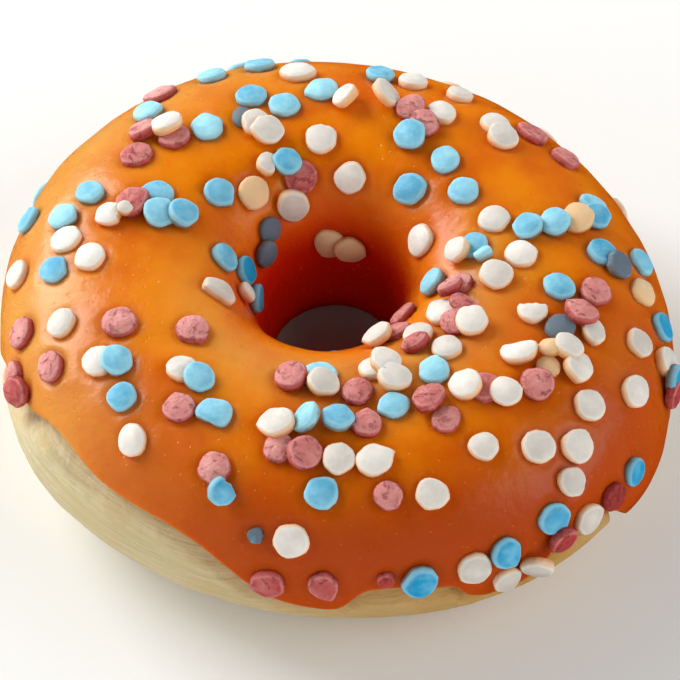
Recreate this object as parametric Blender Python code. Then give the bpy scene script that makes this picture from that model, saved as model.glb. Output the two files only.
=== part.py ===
"""Sprinkle frosted doughnut: a ring of dough, a skin of icing over its top, and flat round sprinkles.

Lengths are metres and +Z is up. The origin is the middle of the base, on the surface it rests on.
A place on the ring is a bearing and a height, both in degrees. Bearing 0 is +X and 90 is +Y.
Height 0 is the widest part of the side, 90 the crest, 180 the narrowest part of the hole, 270 the base.
"""

import math
import random

import bmesh
import bpy
from mathutils import Quaternion, Vector

MM = 0.001

# Ring of the whole doughnut, measured over the icing.
OUTER_RADIUS = 45.0 * MM
CREST_RADIUS = 0.55 * OUTER_RADIUS
HOLE_RADIUS = 0.217 * OUTER_RADIUS
RISE_ABOVE_SIDE = 15.0 * MM
DEPTH_BELOW_SIDE = 14.0 * MM
BASE_CUT = 0.7 * MM
SIDE_HEIGHT = DEPTH_BELOW_SIDE - BASE_CUT
HOLE_SHIFT = (-0.6 * MM, 2.5 * MM)
CENTRE_SHIFT = (-0.3 * MM, -0.2 * MM)

# The hole closes in below its middle: height of the narrowest part, half width in height, and how far.
WAIST_HEIGHT = 202.0
WAIST_WIDTH = 18.0
WAIST_DEPTH = 2.4 * MM

# How square the section is: outer top, inner top, inner bottom, outer bottom. 2 is an ellipse.
SECTION_SQUARENESS = (2.4, 2.4, 3.4, 2.15)
SECTION_FLATNESS = (2.0, 2.0, 2.8, 2.0)

# The ring is not quite round: waves round it as (turns, cosine share, sine share).
OUTLINE_WAVES = ((2, 0.003, -0.036), (3, 0.002, -0.006), (4, -0.0046, 0.0))
HOLE_WAVES = ((2, -0.05, 0.045),)
CREST_TILT = (-0.01, 0.02)

# Half the small turn over which slopes are measured.
HALF_STEP = 0.5

# Icing and the dough under it.
ICING_THICKNESS = 1.5 * MM
ICING_GAP = 0.3 * MM
DRIP_BEARING = 329.0
DRIP_WIDTH = 9.0
DRIP_THICKENING = 1.1 * MM
DRIP_TOP_HEIGHT = 22.0
DRIP_FULL_HEIGHT = -6.0
BELLY_INSET = 0.2 * MM
BELLY_BULGE = 0.8 * MM
BELLY_BEARING = 207.0
BELLY_WIDTH = 18.0
SWELL_HEIGHT = 12.0

# Outer edge of the icing: its usual height, then its lifts and drips, each as a bearing, a half width,
# a height and a steepness.
EDGE_HEIGHT = -9.0
EDGE_SHAPES = (
    (220, 35, 33, 6),
    (198, 7, -7, 2),
    (213, 8, 4, 2),
    (277.5, 6, 16, 4),
    (287, 3.5, 12, 4),
    (298, 5, -6, 4),
    (312, 8.5, 13, 4),
    (328, 6, -16, 4),
)
EDGE_WAVES = ((3, 2.5, 40), (7, 2.0, 110), (11, 1.2, 250))
HOLE_EDGE_HEIGHT = 216.0
HOLE_EDGE_WAVES = ((2, 3.0, 15), (5, 3.0, 200), (9, 1.5, 75))

# Sections of the mesh: how many, and the bearing where they lie closer together and by how much.
SECTIONS = 60
CLOSE_BEARING = 290.0
CLOSE_SHIFT = 14.0

# Lines of the mesh on the icing, from its outer edge (0) to its edge in the hole (1), each with the
# share of the icing's thickness there, then the lines of its underside, which the dough shares.
ICING_LINES = (
    (0.0, 0.35), (0.012, 0.8), (0.035, 1.05), (0.11, 1.0), (0.21, 1.0), (0.31, 1.0), (0.41, 1.0),
    (0.51, 1.0), (0.61, 1.0), (0.71, 1.0), (0.82, 1.0), (0.93, 1.0), (0.985, 0.85), (1.0, 0.35),
)
UNDER_LINES = (0.006, 0.11, 0.31, 0.51, 0.71, 0.99)

# The flat base, and the lines of the bare dough from the icing in the hole (0) to the base (1), and
# from the base (0) to the icing's outer edge (1).
BASE_HEIGHTS = (253.0, 286.0)
HOLE_LINES = (0.12, 0.40, 0.72, 1.0)
SIDE_LINES = (0.0, 0.18, 0.38, 0.57, 0.74, 0.87, 0.95)

# Sprinkles: flat round drops.
SPRINKLE_RADIUS = 2.25 * MM
SPRINKLE_SPREAD = 0.07
SPRINKLE_THICKNESS = 1.3 * MM
SPRINKLE_SUNK = 0.5 * MM
SPRINKLE_SIDES = 7
SPRINKLE_TOP_SHARE = 0.80
LEAN_ANGLE = 18.0
LEAN_OVERLAP = 0.5 * MM
TIP_ANGLE = 42.0
TIP_SWING = 0.6
TIP_RISE_SHARE = 0.75
EDGE_MARGIN = 8.0
PLACE_JITTER = 0.5
SEED = 11

# Rows of sprinkles: bearing and height of the first, of the last, and a letter for each sprinkle.
# b is blue, w white and p pink. The same under a film of icing is g, y and r. A capital is tipped up.
ROWS = (
    (97, 58, 43, 47, "wbwp"), (113, 44, 104, 44, "bb"), (72, 54, 49, 91, "wwb"), (109, 74, 75, 76, "bbW"),
    (103, 83, 68, 79, "bWp"), (115, 84, 110, 93, "gww"), (62, 83, 63, 90, "pb"), (49, 61, 44, 69, "ww"),
    (34, 43, 4, 61, "pbb"), (35, 98, 2, 90, "bww"), (14, 58, 11, 86, "bybb"), (1, 54, 354, 24, "gyb"),
    (6, 34, 6, 34, "b"), (10, 108, 353, 99, "bBw"), (8, 115, 315, 120, "wpww"), (345, 118, 329, 102, "ppw"),
    (327, 109, 305, 98, "pwb"), (358, 133, 341, 150, "bp"), (351, 80, 327, 75, "bgy"), (302, 67, 302, 67, "w"),
    (352, 66, 331, 66, "pww"), (342, 87, 312, 85, "wwp"), (345, 72, 321, 74, "pwp"),
    (331, 77, 298, 82, "ywp"), (308, 88, 287, 90, "wpb"), (345, 42, 335, 37, "ww"), (347, 20, 343, 7, "wbp"),
    (326, 53, 312, 56, "ww"), (318, 46, 308, 23, "wwb"), (309, 115, 264, 109, "pwb"),
    (315, 138, 303, 138, "pw"), (290, 109, 291, 100, "ww"), (244, 59, 248, 51, "pB"),
    (256, 74, 278, 72, "ppww"), (254, 103, 278, 98, "pwp"), (262, 86, 278, 86, "Bp"),
    (267, 58, 267, 58, "b"), (280, 57, 288, 55, "pw"), (256, 34, 262, 35, "gw"), (258, 8, 278, 15, "ppp"),
    (283, 12, 293, 13, "bw"), (298, -4, 308, 9, "wWp"), (314, 7, 326, 8, "wrb"), (298, 18, 298, 18, "b"),
    (238, 79, 271, 87, "bwb"), (33, 138, 53, 119, "wb"), (81, 127, 126, 123, "wpy"), (93, 101, 115, 112, "ww"),
    (138, 111, 163, 133, "bb"), (108, 115, 110, 140, "bw"), (91, 169, 79, 170, "ww"),
    (126, 148, 135, 157, "gg"), (155, 152, 165, 165, "bb"), (175, 152, 189, 127, "ww"),
    (124, 83, 142, 74, "bpp"), (132, 75, 132, 75, "w"), (124, 42, 136, 67, "pbp"), (152, 89, 164, 78, "bpw"),
    (162, 83, 157, 101, "wbb"), (157, 66, 170, 62, "bw"), (164, 57, 192, 57, "bbw"),
    (176, 73, 222, 86, "wpw"), (160, 28, 188, 33, "bwp"), (193, 17, 198, 19, "pp"), (200, 45, 226, 53, "pw"),
    (206, 65, 217, 64, "wb"), (209, 71, 230, 75, "bp"), (211, 99, 228, 87, "pb"),
)

# Each place in the rows is where the sprinkle's raised top is seen, looking from the shown side.
SHOWN_SIDE = Vector((0.0, -0.636, 0.772))
TOP_RISE = 0.8 * MM
LEAST_FACING = 0.4

# The far slope and the near wall of the hole have no rows: sprinkles are spread there by chance.
HIDDEN_FACING = -0.2
HOLE_HIDDEN_FACING = -0.33
SPREAD_COUNT = 26
SPREAD_TRIES = 4000
SPREAD_CLEARANCE = 5.2 * MM
SPREAD_COLOURS = "bbbbwwwwpp"

# Edges shorter than this are closed up after the sprinkles are joined on.
SLIVER = 0.002 * MM

DOUGH_COLOUR = (0.74, 0.62, 0.37, 1.0)
ICING_COLOUR = (0.80, 0.21, 0.01, 1.0)


def bump(bearing, centre, half_width, height, steepness):
    """A smooth flat-topped rise round one bearing."""
    away = (bearing - centre + 180.0) % 360.0 - 180.0
    return height * math.exp(-abs(away / half_width) ** steepness)


def waves(bearing, terms):
    """The sum of some waves round the ring: turns, size and phase in degrees."""
    return sum(size * math.sin(math.radians(turns * bearing + phase)) for turns, size, phase in terms)


def cosine_waves(angle, terms):
    """The sum of waves given by their cosine and sine shares."""
    return sum(even * math.cos(turns * angle) + odd * math.sin(turns * angle) for turns, even, odd in terms)


def signed_power(value, power):
    """Keep the sign of value and raise its size to a power."""
    return math.copysign(abs(value) ** power, value)


def ring_point(bearing, height):
    """A point on the smooth surface of the doughnut."""
    around = math.radians(bearing)
    over = math.radians(height)
    out = math.cos(over)
    up = math.sin(over)
    quarter = int((height % 360.0) // 90.0)
    outline = 1.0 + cosine_waves(around, OUTLINE_WAVES)
    hole = HOLE_RADIUS * (1.0 + cosine_waves(around, HOLE_WAVES))
    hole += HOLE_SHIFT[0] * math.cos(around) + HOLE_SHIFT[1] * math.sin(around)
    crest = CREST_RADIUS * outline
    reach = OUTER_RADIUS * outline - crest if out > 0 else crest - hole
    rise = RISE_ABOVE_SIDE * (1.0 + CREST_TILT[0] * math.cos(around) + CREST_TILT[1] * math.sin(around))
    rise = rise if up > 0 else DEPTH_BELOW_SIDE
    radius = crest + reach * signed_power(out, 2.0 / SECTION_SQUARENESS[quarter])
    radius -= bump(height, WAIST_HEIGHT, WAIST_WIDTH, WAIST_DEPTH, 2)
    z = SIDE_HEIGHT + rise * signed_power(up, 2.0 / SECTION_FLATNESS[quarter])
    x = radius * math.cos(around) + CENTRE_SHIFT[0]
    y = radius * math.sin(around) + CENTRE_SHIFT[1]
    return Vector((x, y, z))


def ring_steps(bearing, height):
    """How a point moves for one degree of bearing, and for one degree of height."""
    along = ring_point(bearing + HALF_STEP, height) - ring_point(bearing - HALF_STEP, height)
    over = ring_point(bearing, height + HALF_STEP) - ring_point(bearing, height - HALF_STEP)
    return along, over


def ring_normal(bearing, height):
    """The direction straight out of the surface at a place."""
    along, over = ring_steps(bearing, height)
    return along.cross(over).normalized()


def offset_point(bearing, height, offset):
    """A point at a distance above the surface, or below it where the distance is negative."""
    return ring_point(bearing, height) + ring_normal(bearing, height) * offset


def icing_edge(bearing):
    """Height at which the icing ends on the outer side."""
    lifts = sum(bump(bearing, *shape) for shape in EDGE_SHAPES)
    back = 0.5 + 0.5 * math.sin(math.radians(bearing))
    return EDGE_HEIGHT + lifts + back * waves(bearing, EDGE_WAVES)


def hole_edge(bearing):
    """Height at which the icing ends in the hole."""
    return HOLE_EDGE_HEIGHT + waves(bearing, HOLE_EDGE_WAVES)


def smooth_step(value):
    """Ease from 0 to 1."""
    value = min(max(value, 0.0), 1.0)
    return value * value * (3.0 - 2.0 * value)


def dough_inset(bearing, height):
    """How far the dough lies below the smooth surface: deep under the icing, little below its edges."""
    height %= 360.0
    if 90.0 <= height < 270.0:
        beyond_icing = height - hole_edge(bearing)
    else:
        beyond_icing = icing_edge(bearing) - (height if height < 90.0 else height - 360.0)
    bare = smooth_step(beyond_icing / SWELL_HEIGHT)
    under_icing = ICING_THICKNESS + ICING_GAP
    belly = BELLY_INSET - bump(bearing, BELLY_BEARING, BELLY_WIDTH, BELLY_BULGE, 2)
    return under_icing + (belly - under_icing) * bare


def dough_point(bearing, height, lift=0.0):
    """A point on the dough, or lifted off it."""
    point = offset_point(bearing, height, lift - dough_inset(bearing, height))
    point.z = max(point.z, 0.0)
    return point


def plastic(name, colour, roughness):
    """A plain finish."""
    material = bpy.data.materials.new(name)
    material.use_nodes = True
    shader = material.node_tree.nodes["Principled BSDF"]
    shader.inputs["Base Color"].default_value = colour
    shader.inputs["Roughness"].default_value = roughness
    return material


def add_object(name, mesh, material, collection):
    """Put a mesh into a collection as an object with one material."""
    mesh.materials.append(material)
    obj = bpy.data.objects.new(name, mesh)
    collection.objects.link(obj)
    return obj


def ring_mesh(name, sections):
    """Join closed sections, each a list of points, into one closed ring."""
    shape = bmesh.new()
    rings = [[shape.verts.new(point) for point in section] for section in sections]
    for ring, following in zip(rings, rings[1:] + rings[:1]):
        for at in range(len(ring)):
            shape.faces.new((ring[at - 1], following[at - 1], following[at], ring[at]))
    bmesh.ops.triangulate(shape, faces=shape.faces[:])
    bmesh.ops.recalc_face_normals(shape, faces=shape.faces[:])
    mesh = bpy.data.meshes.new(name)
    shape.to_mesh(mesh)
    shape.free()
    return mesh


def between(first, last, share):
    """The value at a share of the way from one value to another."""
    return first + (last - first) * share


def iced_height(bearing, share):
    """Height at a share of the way over the icing, from its outer edge to its edge in the hole."""
    return between(icing_edge(bearing), hole_edge(bearing), share)


def bearings():
    """The bearings of the sections."""
    for number in range(SECTIONS):
        even = 360.0 * number / SECTIONS
        yield even - CLOSE_SHIFT * math.sin(math.radians(even - CLOSE_BEARING))


def dough_section(bearing):
    """The dough's outline at one bearing."""
    base_start, base_end = BASE_HEIGHTS
    heights = [iced_height(bearing, share) for share in UNDER_LINES]
    heights += [between(hole_edge(bearing), base_start, share) for share in HOLE_LINES]
    heights += [between(base_end, 360.0 + icing_edge(bearing), share) for share in SIDE_LINES]
    return [dough_point(bearing, height) for height in heights]


def icing_thickness(bearing, height):
    """The icing's thickness away from its edges: even, but for the swollen foot of the longest drip."""
    down = smooth_step((DRIP_TOP_HEIGHT - height) / (DRIP_TOP_HEIGHT - DRIP_FULL_HEIGHT))
    return ICING_THICKNESS + down * bump(bearing, DRIP_BEARING, DRIP_WIDTH, DRIP_THICKENING, 2)


def icing_section(bearing):
    """The icing's outline at one bearing: its outside, then back along its underside."""
    top = []
    for share, thickness_share in ICING_LINES:
        height = iced_height(bearing, share)
        lift = ICING_GAP + icing_thickness(bearing, height) * thickness_share
        top.append(dough_point(bearing, height, lift))
    under = [dough_point(bearing, iced_height(bearing, share), ICING_GAP) for share in UNDER_LINES]
    return top + under[::-1]


class Sprinkle:
    """One sprinkle: its middle, the way it faces, its turn, its radius and its letter."""

    def __init__(self, bearing, height, letter, chance, taken):
        height = min(max(height, icing_edge(bearing) + EDGE_MARGIN), hole_edge(bearing) - EDGE_MARGIN)
        self.letter = letter
        self.radius = SPRINKLE_RADIUS * (1.0 + SPRINKLE_SPREAD * chance.uniform(-1.0, 1.0))
        self.turn = chance.uniform(0.0, 2.0 * math.pi)
        self.face = ring_normal(bearing, height)
        self.centre = ring_point(bearing, height) + self.face * (SPRINKLE_THICKNESS / 2.0 - SPRINKLE_SUNK)
        if letter.isupper():
            side = ring_steps(bearing, height)[0].normalized() * chance.choice((-1.0, 1.0))
            side.rotate(Quaternion(self.face, chance.uniform(-TIP_SWING, TIP_SWING)))
            self.lift_one_side(side, TIP_ANGLE, TIP_RISE_SHARE)
        else:
            self.lean_on(taken)

    def lift_one_side(self, side, angle, rise_share):
        """Turn to face towards a side, rising so that the rim there stays in the icing."""
        angle = math.radians(angle)
        self.centre += self.face * (self.radius * math.sin(angle) * rise_share)
        self.face = (self.face * math.cos(angle) + side * math.sin(angle)).normalized()

    def lean_on(self, taken):
        """Lie against the sprinkles that are already in this one's way."""
        away = Vector()
        most = 0.0
        for other in taken:
            apart = self.centre - other.centre
            overlap = self.radius + other.radius - apart.length
            if overlap > 0.0:
                away += apart - self.face * apart.dot(self.face)
                most = max(most, overlap)
        if most > 0.0:
            self.lift_one_side(away.normalized(), LEAN_ANGLE * min(most / LEAN_OVERLAP, 1.0), 1.0)


def row_places(first_bearing, first_height, last_bearing, last_height, letters):
    """The even places of one row, going the short way round."""
    turn = (last_bearing - first_bearing + 180.0) % 360.0 - 180.0
    for number, letter in enumerate(letters):
        share = number / max(len(letters) - 1, 1)
        yield first_bearing + turn * share, between(first_height, last_height, share), letter


def place_under(bearing, height):
    """The place of a sprinkle whose raised top is seen in front of a place."""
    face = ring_normal(bearing, height)
    slip = (SHOWN_SIDE / max(face.dot(SHOWN_SIDE), LEAST_FACING) - face) * TOP_RISE
    along, over = ring_steps(bearing, height)
    return bearing + slip.dot(along) / along.length_squared, height + slip.dot(over) / over.length_squared


def laid_sprinkles(chance):
    """The sprinkles of all the rows, each a little off its even place."""
    sprinkles = []
    for row in ROWS:
        for bearing, height, letter in row_places(*row):
            bearing, height = place_under(bearing, height)
            bearing += PLACE_JITTER * chance.uniform(-1.0, 1.0)
            height += PLACE_JITTER * chance.uniform(-1.0, 1.0)
            sprinkles.append(Sprinkle(bearing % 360.0, height, letter, chance, sprinkles))
    return sprinkles


def spread_sprinkles(chance, sprinkles):
    """Add sprinkles by chance where no row is, each clear of the rest."""
    wanted = len(sprinkles) + SPREAD_COUNT
    for _ in range(SPREAD_TRIES):
        bearing = chance.uniform(0.0, 360.0)
        height = chance.uniform(icing_edge(bearing) + EDGE_MARGIN, hole_edge(bearing) - EDGE_MARGIN)
        limit = HIDDEN_FACING if height < 90.0 else HOLE_HIDDEN_FACING
        letter = chance.choice(SPREAD_COLOURS)
        if ring_normal(bearing, height).dot(SHOWN_SIDE) > limit:
            continue
        place = ring_point(bearing, height)
        if all((place - other.centre).length > SPREAD_CLEARANCE for other in sprinkles):
            sprinkles.append(Sprinkle(bearing, height, letter, chance, sprinkles))
        if len(sprinkles) == wanted:
            break


def disc_mesh(name, radius):
    """A flat round drop, a little narrower at its top, with its middle at the origin."""
    shape = bmesh.new()
    bmesh.ops.create_cone(
        shape, cap_ends=True, segments=SPRINKLE_SIDES, depth=SPRINKLE_THICKNESS,
        radius1=radius, radius2=radius * SPRINKLE_TOP_SHARE,
    )
    mesh = bpy.data.meshes.new(name)
    shape.to_mesh(mesh)
    shape.free()
    return mesh


def sprinkle_objects(material, collection):
    """Every sprinkle as an object in its place."""
    chance = random.Random(SEED)
    sprinkles = laid_sprinkles(chance)
    spread_sprinkles(chance, sprinkles)
    for number, sprinkle in enumerate(sprinkles):
        name = f"sprinkle_{number}"
        obj = add_object(name, disc_mesh(name, sprinkle.radius), material, collection)
        turn = Quaternion(sprinkle.face, sprinkle.turn) @ sprinkle.face.to_track_quat("Z", "Y")
        obj.rotation_mode = "QUATERNION"
        obj.rotation_quaternion = turn
        obj.location = sprinkle.centre


def fuse(obj, collection):
    """Join everything in a collection onto an object, then remove the collection."""
    union = obj.modifiers.new("sprinkles", "BOOLEAN")
    union.operation = "UNION"
    union.operand_type = "COLLECTION"
    union.collection = collection
    union.solver = "EXACT"
    bpy.context.view_layer.update()
    depsgraph = bpy.context.evaluated_depsgraph_get()
    joined = bpy.data.meshes.new_from_object(obj.evaluated_get(depsgraph))
    obj.modifiers.remove(union)
    obj.data = joined
    for piece in list(collection.objects):
        bpy.data.objects.remove(piece)
    bpy.data.collections.remove(collection)


def connected_parts(shape):
    """The groups of faces that hang together."""
    left = set(shape.faces)
    while left:
        part = set()
        edge_of_part = [left.pop()]
        while edge_of_part:
            face = edge_of_part.pop()
            part.add(face)
            for edge in face.edges:
                for neighbour in edge.link_faces:
                    if neighbour in left:
                        left.remove(neighbour)
                        edge_of_part.append(neighbour)
        yield part


def keep_main_body(mesh):
    """Fill sealed hollows and drop scraps by keeping the part with the most faces."""
    shape = bmesh.new()
    shape.from_mesh(mesh)
    bmesh.ops.dissolve_degenerate(shape, edges=shape.edges[:], dist=SLIVER)
    bmesh.ops.triangulate(shape, faces=shape.faces[:])
    main = max(connected_parts(shape), key=len)
    bmesh.ops.delete(shape, geom=[face for face in shape.faces if face not in main], context="FACES")
    shape.to_mesh(mesh)
    shape.free()


def build_dough():
    """The ring of dough."""
    mesh = ring_mesh("dough", [dough_section(bearing) for bearing in bearings()])
    dough = add_object("dough", mesh, plastic("dough", DOUGH_COLOUR, 0.8), bpy.context.scene.collection)
    dough.data.shade_smooth()


def build_icing():
    """The skin of icing with its sprinkles."""
    mesh = ring_mesh("icing", [icing_section(bearing) for bearing in bearings()])
    material = plastic("icing", ICING_COLOUR, 0.25)
    icing = add_object("icing", mesh, material, bpy.context.scene.collection)
    sprinkles = bpy.data.collections.new("sprinkles")
    bpy.context.scene.collection.children.link(sprinkles)
    sprinkle_objects(material, sprinkles)
    fuse(icing, sprinkles)
    keep_main_body(icing.data)


def build():
    """Make the doughnut in an empty scene."""
    for obj in list(bpy.data.objects):
        bpy.data.objects.remove(obj)
    build_dough()
    build_icing()


build()
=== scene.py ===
import math
import random

import bmesh
import bpy
import numpy as np
from mathutils import Matrix, Quaternion, Vector


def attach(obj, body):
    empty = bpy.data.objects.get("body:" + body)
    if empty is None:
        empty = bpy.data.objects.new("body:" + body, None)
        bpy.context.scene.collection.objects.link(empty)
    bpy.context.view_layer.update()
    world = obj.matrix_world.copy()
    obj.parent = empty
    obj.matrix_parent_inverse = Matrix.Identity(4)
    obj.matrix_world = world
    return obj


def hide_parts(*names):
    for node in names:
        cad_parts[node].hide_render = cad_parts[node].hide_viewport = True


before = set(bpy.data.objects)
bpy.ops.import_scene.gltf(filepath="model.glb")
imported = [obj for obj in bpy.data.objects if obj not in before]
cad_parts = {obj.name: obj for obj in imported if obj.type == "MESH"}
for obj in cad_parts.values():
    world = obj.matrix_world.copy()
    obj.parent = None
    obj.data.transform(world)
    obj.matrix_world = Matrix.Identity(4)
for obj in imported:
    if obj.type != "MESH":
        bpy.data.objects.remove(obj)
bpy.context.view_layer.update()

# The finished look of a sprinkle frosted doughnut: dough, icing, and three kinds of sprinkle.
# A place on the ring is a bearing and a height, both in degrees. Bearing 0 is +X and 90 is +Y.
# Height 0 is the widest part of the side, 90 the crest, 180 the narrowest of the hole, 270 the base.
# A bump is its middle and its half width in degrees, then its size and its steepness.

MM = 0.001

# The ring, measured over the icing, as in the solids.
OUTER_RADIUS = 45.0 * MM
CREST_RADIUS = 0.55 * OUTER_RADIUS
HOLE_RADIUS = 0.217 * OUTER_RADIUS
RISE_ABOVE_SIDE = 15.0 * MM
DEPTH_BELOW_SIDE = 14.0 * MM
BASE_CUT = 0.7 * MM
SIDE_HEIGHT = DEPTH_BELOW_SIDE - BASE_CUT
HOLE_SHIFT = (-0.6 * MM, 2.5 * MM)
CENTRE_SHIFT = (-0.3 * MM, -0.2 * MM)
WAIST = (202.0, 18.0, 2.4 * MM, 2)
SECTION_SQUARENESS = (2.4, 2.4, 3.4, 2.15)
SECTION_FLATNESS = (2.0, 2.0, 2.8, 2.0)
OUTLINE_WAVES = ((2, 0.003, -0.036), (3, 0.002, -0.006), (4, -0.0046, 0.0))
HOLE_WAVES = ((2, -0.05, 0.045),)
CREST_TILT = (-0.01, 0.02)
BASE_HEIGHT = 270.0

# Icing and the dough under it.
ICING_THICKNESS = 1.5 * MM
ICING_GAP = 0.3 * MM
DRIP = (329.0, 9.0, 1.1 * MM, 2)
DRIP_TOP_HEIGHT = 22.0
DRIP_FULL_HEIGHT = -6.0
BELLY_INSET = 0.2 * MM
BELLY = (207.0, 18.0, 0.8 * MM, 2)
SWELL_HEIGHT = 12.0
EDGE_HEIGHT = -9.0
EDGE_SHAPES = (
    (220, 35, 33, 6),
    (198, 7, -7, 2),
    (213, 8, 4, 2),
    (277.5, 6, 16, 4),
    (287, 3.5, 12, 4),
    (298, 5, -6, 4),
    (312, 8.5, 13, 4),
    (328, 6, -16, 4),
)
EDGE_WAVES = ((3, 2.5, 40), (7, 2.0, 110), (11, 1.2, 250))
HOLE_EDGE_HEIGHT = 216.0
HOLE_EDGE_WAVES = ((2, 3.0, 15), (5, 3.0, 200), (9, 1.5, 75))

# Sprinkles, laid as in the solids.
SPRINKLE_RADIUS = 2.25 * MM
SPRINKLE_SPREAD = 0.07
SPRINKLE_THICKNESS = 1.3 * MM
SPRINKLE_SUNK = 0.5 * MM
LEAN_ANGLE = 18.0
LEAN_OVERLAP = 0.5 * MM
TIP_ANGLE = 42.0
TIP_SWING = 0.6
TIP_RISE_SHARE = 0.75
EDGE_MARGIN = 8.0
PLACE_JITTER = 0.5
SEED = 11
SHOWN_SIDE = Vector((0.0, -0.636, 0.772))
TOP_RISE = 0.8 * MM
LEAST_FACING = 0.4
HIDDEN_FACING = -0.2
HOLE_HIDDEN_FACING = -0.33
SPREAD_COUNT = 26
SPREAD_TRIES = 4000
SPREAD_CLEARANCE = 5.2 * MM
SPREAD_COLOURS = "bbbbwwwwpp"

# Rows of sprinkles: bearing and height of the first, of the last, and a letter for each sprinkle.
# b is blue, w white and p pink. The same under a film of icing is g, y and r. A capital is tipped up.
ROWS = (
    (97, 58, 43, 47, "wbwp"), (113, 44, 104, 44, "bb"), (72, 54, 49, 91, "wwb"), (109, 74, 75, 76, "bbW"),
    (103, 83, 68, 79, "bWp"), (115, 84, 110, 93, "gww"), (62, 83, 63, 90, "pb"), (49, 61, 44, 69, "ww"),
    (34, 43, 4, 61, "pbb"), (35, 98, 2, 90, "bww"), (14, 58, 11, 86, "bybb"), (1, 54, 354, 24, "gyb"),
    (6, 34, 6, 34, "b"), (10, 108, 353, 99, "bBw"), (8, 115, 315, 120, "wpww"), (345, 118, 329, 102, "ppw"),
    (327, 109, 305, 98, "pwb"), (358, 133, 341, 150, "bp"), (351, 80, 327, 75, "bgy"),
    (302, 67, 302, 67, "w"), (352, 66, 331, 66, "pww"), (342, 87, 312, 85, "wwp"),
    (345, 72, 321, 74, "pwp"), (331, 77, 298, 82, "ywp"), (308, 88, 287, 90, "wpb"),
    (345, 42, 335, 37, "ww"), (347, 20, 343, 7, "wbp"), (326, 53, 312, 56, "ww"), (318, 46, 308, 23, "wwb"),
    (309, 115, 264, 109, "pwb"), (315, 138, 303, 138, "pw"), (290, 109, 291, 100, "ww"),
    (244, 59, 248, 51, "pB"), (256, 74, 278, 72, "ppww"), (254, 103, 278, 98, "pwp"),
    (262, 86, 278, 86, "Bp"), (267, 58, 267, 58, "b"), (280, 57, 288, 55, "pw"), (256, 34, 262, 35, "gw"),
    (258, 8, 278, 15, "ppp"), (283, 12, 293, 13, "bw"), (298, -4, 308, 9, "wWp"), (314, 7, 326, 8, "wrb"),
    (298, 18, 298, 18, "b"), (238, 79, 271, 87, "bwb"), (33, 138, 53, 119, "wb"),
    (81, 127, 126, 123, "wpy"), (93, 101, 115, 112, "ww"), (138, 111, 163, 133, "bb"),
    (108, 115, 110, 140, "bw"), (91, 169, 79, 170, "ww"), (126, 148, 135, 157, "gg"),
    (155, 152, 165, 165, "bb"), (175, 152, 189, 127, "ww"), (124, 83, 142, 74, "bpp"),
    (132, 75, 132, 75, "w"), (124, 42, 136, 67, "pbp"), (152, 89, 164, 78, "bpw"),
    (162, 83, 157, 101, "wbb"), (157, 66, 170, 62, "bw"), (164, 57, 192, 57, "bbw"),
    (176, 73, 222, 86, "wpw"), (160, 28, 188, 33, "bwp"), (193, 17, 198, 19, "pp"),
    (200, 45, 226, 53, "pw"), (206, 65, 217, 64, "wb"), (209, 71, 230, 75, "bp"), (211, 99, 228, 87, "pb"),
)
FILMED = "gyr"

# Sprinkles that aren't whole and round, by their number in the rows: the share of the usual width and
# depth, the bearing that the width points to, and how far out it is broken off, with 1 at the rim. A
# whole sprinkle has no bearing, because chance turns it, and is broken off nowhere.
WHOLE = (1.0, 1.0, None, 2.0)
ODD_SPRINKLES = {
    15: (0.75, 0.8, 0, 2), 37: (0.62, 0.8, 50, 2), 40: (1, 0.75, 0, 2), 43: (0.9, 0.5, 45, 2),
    44: (1, 0.65, -40, 2), 46: (0.85, 0.9, 0, 2), 53: (0.75, 0.65, 0, 2), 56: (0.68, 1, 20, 2),
    58: (1, 1, 90, 0.2), 59: (1, 1.05, 90, 0.45), 64: (0.72, 0.62, 0, 2), 80: (0.9, 0.5, 10, 2),
    88: (0.95, 0.85, 60, 0.4), 101: (0.6, 0.55, 0, 0.6), 105: (0.5, 0.42, 20, 2), 115: (1, 1.05, 240, 0.6),
    124: (0.75, 0.7, 0, 0.5), 131: (0.85, 0.85, 0, 2), 132: (0.62, 0.85, -30, 2), 135: (0.35, 0.75, 30, 2),
    136: (1, 1.1, 250, 0.5), 146: (0.9, 0.8, 0, 0.6), 147: (0.5, 0.42, 0, 2), 164: (0.85, 1, 0, 2),
}

# How fine the finished meshes are.
ICING_SECTIONS = 440
ICING_TOP_LINES = 150
ICING_UNDER_LINES = 26
DOUGH_SECTIONS = 360
DOUGH_HIDDEN_LINES = 16
DOUGH_BARE_LINES = 120

# A noise is given by its scale, then its detail, roughness and distortion. The scale is in waves to the
# metre, but in waves to a radius on a sprinkle's outline. Streaks run in a space that is stretched first.
# A fade is the value at which something starts and the value at which it is full. A share is how strong
# a tint is, and a gloss the least roughness and how much a noise adds to it.

# Icing: how closely its lines lie at the edges, its length over the ring, the round of its edge and how
# far the edge dips into the dough, then its relief and the rise of the icing against a sprinkle.
EDGE_CLOSENESS = 0.11
ICING_LENGTH = 88.0 * MM
EDGE_ROUND = 2.0 * MM
EDGE_SUNK = 0.25 * MM
ICING_UNEVENNESS = 0.9 * MM
ICING_SWELLS = (62.0, 2.0)
ICING_RIPPLE = 0.25 * MM
ICING_RIPPLES = (190.0, 2.0)
SPRINKLE_RISE = 0.22 * MM
SPRINKLE_REACH = 0.65 * MM

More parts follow.
